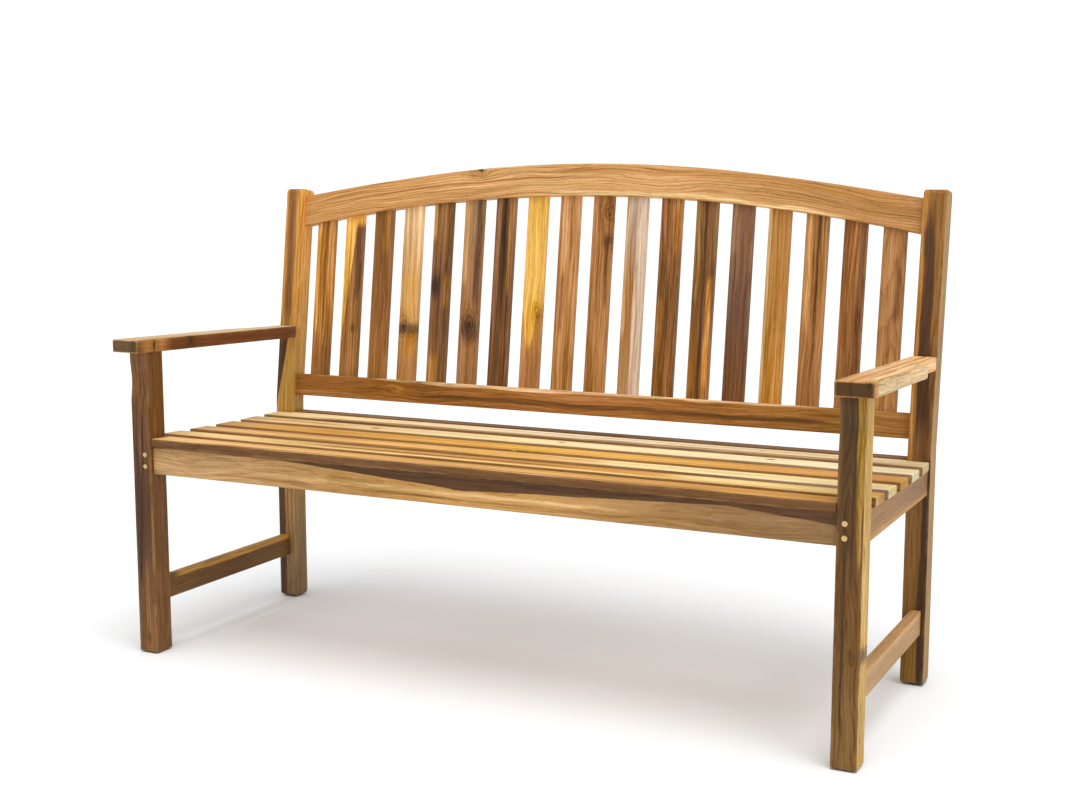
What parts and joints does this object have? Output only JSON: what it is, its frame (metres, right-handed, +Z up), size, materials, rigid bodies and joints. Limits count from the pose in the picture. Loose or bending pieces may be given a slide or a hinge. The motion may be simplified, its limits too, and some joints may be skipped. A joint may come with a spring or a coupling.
{
  "type": "garden bench",
  "caption": "Wooden garden bench with arms, upright back slats under an arched top rail, and a slatted seat on a shallow dish.",
  "frame": {"origin": "on the ground under the middle of the bench's bounding box", "axes": "+X along the bench to the left hand of someone who sits on it, +Y from the front to the back, +Z up"},
  "size_m": [1.538, 0.6264, 0.9994],
  "materials": {
    "teak_frame": "oiled, satin",
    "teak_back_slats": "oiled, satin",
    "teak_seat_slats": "oiled, satin",
    "pale_peg_wood": "oiled end grain",
    "dowel_beech": "plain",
    "stainless_steel": "satin",
    "dark_glide_plastic": "matt"
  },
  "bodies": {
    "root": {"apron_pegs": "pale_peg_wood", "apron_screws": "stainless_steel", "arm_dowels": "dowel_beech", "arm_left": "teak_frame", "arm_right": "teak_frame", "back_slat_01": "teak_back_slats", "back_slat_02": "teak_back_slats", "back_slat_03": "teak_back_slats", "back_slat_04": "teak_back_slats", "back_slat_05": "teak_back_slats", "back_slat_06": "teak_back_slats", "back_slat_07": "teak_back_slats", "back_slat_08": "teak_back_slats", "back_slat_09": "teak_back_slats", "back_slat_10": "teak_back_slats", "back_slat_11": "teak_back_slats", "back_slat_12": "teak_back_slats", "back_slat_13": "teak_back_slats", "back_slat_14": "teak_back_slats", "back_slat_15": "teak_back_slats", "back_slat_16": "teak_back_slats", "back_slat_17": "teak_back_slats", "back_slat_18": "teak_back_slats", "foot_glides": "dark_glide_plastic", "front_apron": "teak_frame", "front_leg_left": "teak_frame", "front_leg_right": "teak_frame", "lower_back_rail": "teak_frame", "middle_bearer": "teak_frame", "middle_bearer_screws": "stainless_steel", "rear_post_left": "teak_frame", "rear_post_right": "teak_frame", "rear_rail": "teak_frame", "seat_slat_1": "teak_seat_slats", "seat_slat_2": "teak_seat_slats", "seat_slat_3": "teak_seat_slats", "seat_slat_4": "teak_seat_slats", "seat_slat_5": "teak_seat_slats", "seat_slat_6": "teak_seat_slats", "side_rail_left": "teak_frame", "side_rail_right": "teak_frame", "side_rail_screws_left": "stainless_steel", "side_rail_screws_right": "stainless_steel", "stretcher_left": "teak_frame", "stretcher_right": "teak_frame", "top_rail": "teak_frame"}
  },
  "joints": []
}
